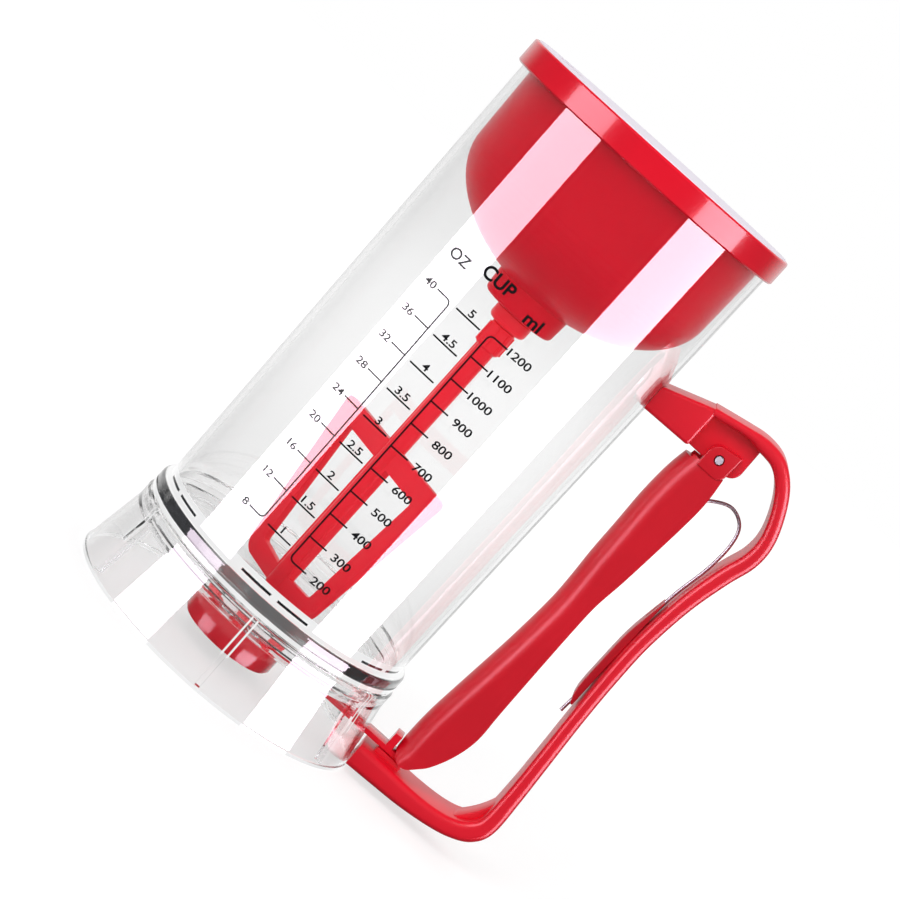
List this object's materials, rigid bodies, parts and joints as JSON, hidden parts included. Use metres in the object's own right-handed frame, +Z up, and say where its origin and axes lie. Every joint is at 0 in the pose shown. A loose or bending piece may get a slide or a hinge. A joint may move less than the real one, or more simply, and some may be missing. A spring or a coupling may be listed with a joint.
{
  "type": "batter dispenser",
  "caption": "Clear jar on a flared skirt with a motor-driven stirring frame under its lid and a squeeze lever that slides a gate open under the outlet.",
  "frame": {"origin": "on the jar's axis, on the surface that the skirt stands on", "axes": "+Z up along the jar's axis, +X from the jar to the handle"},
  "size_m": [0.1902, 0.129, 0.2475],
  "materials": {
    "clear_plastic": "clear moulded, polished",
    "red_plastic": "gloss moulded",
    "dark_red_plastic": "satin moulded",
    "white_plastic": "gloss moulded",
    "grey_plastic": "matte moulded",
    "black_plastic": "matte moulded",
    "silicone": "matte translucent",
    "black_rubber": "matte",
    "pin_steel": "turned",
    "screw_steel": "zinc plated",
    "spring_steel": "drawn wire",
    "motor_steel": "zinc plated",
    "contact_metal": "nickel plated",
    "bronze": "sintered",
    "cell_case": "printed sleeve"
  },
  "bodies": {
    "tank": {"jar": "clear_plastic", "jar_floor": "clear_plastic", "outlet_seat": "clear_plastic", "base_skirt": "clear_plastic", "valve_seal": "silicone", "valve_body": "red_plastic", "valve_screws": "screw_steel", "handle_frame": "red_plastic", "handle_screws": "screw_steel", "pivot_pin": "pin_steel", "return_spring": "spring_steel", "spring_clip": "dark_red_plastic"},
    "lid_unit": {"lid_ring": "red_plastic", "lid_gasket": "silicone", "ring_screws": "screw_steel", "motor_housing": "red_plastic", "gear_motor": "motor_steel", "shaft_bush": "bronze", "shaft_seal": "black_rubber", "battery_tray": "grey_plastic", "batteries": "cell_case", "contact_springs": "contact_metal", "button_spring": "spring_steel", "switch": "black_plastic"},
    "cover": {"top_cover": "white_plastic", "cover_contacts": "contact_metal"},
    "button": {"power_button": "dark_red_plastic"},
    "stirring": {"drive_shaft": "pin_steel", "drive_coupling": "red_plastic", "stirrer": "red_plastic"},
    "lever": {"lever": "red_plastic"},
    "gate": {"valve_slider": "red_plastic"}
  },
  "joints": [
    {"name": "lid_lift", "type": "slide", "parent": "tank", "child": "lid_unit", "axis": [0, 0, 1], "range_m": [0, 0.215]},
    {"name": "cover_lift", "type": "slide", "parent": "lid_unit", "child": "cover", "axis": [0, 0, 1], "range_m": [0, 0.06]},
    {"name": "button_press", "type": "slide", "parent": "lid_unit", "child": "button", "axis": [0, 0, -1], "range_m": [0, 0.0015], "stiffness_N_per_m": 400, "springref_m": -0.001, "deforming": ["button_spring"]},
    {"name": "stirrer_spin", "type": "hinge", "parent": "lid_unit", "child": "stirring", "pos_m": [0, 0, 0.15], "axis": [0, 0, 1], "continuous": true},
    {"name": "lever_squeeze", "type": "hinge", "parent": "tank", "child": "lever", "pos_m": [0.0896, 0, 0.1785], "axis": [0, -1, 0], "range_deg": [0, 7], "stiffness_Nm_per_rad": 1.2, "springref_deg": -11.46, "deforming": ["return_spring"]},
    {"name": "gate_slide", "type": "slide", "parent": "tank", "child": "gate", "axis": [1, 0, 0], "range_m": [0, 0.0194]}
  ],
  "couplings": [
    {"joint": "gate_slide", "follows": "lever_squeeze", "m_per_rad": 0.1586}
  ]
}
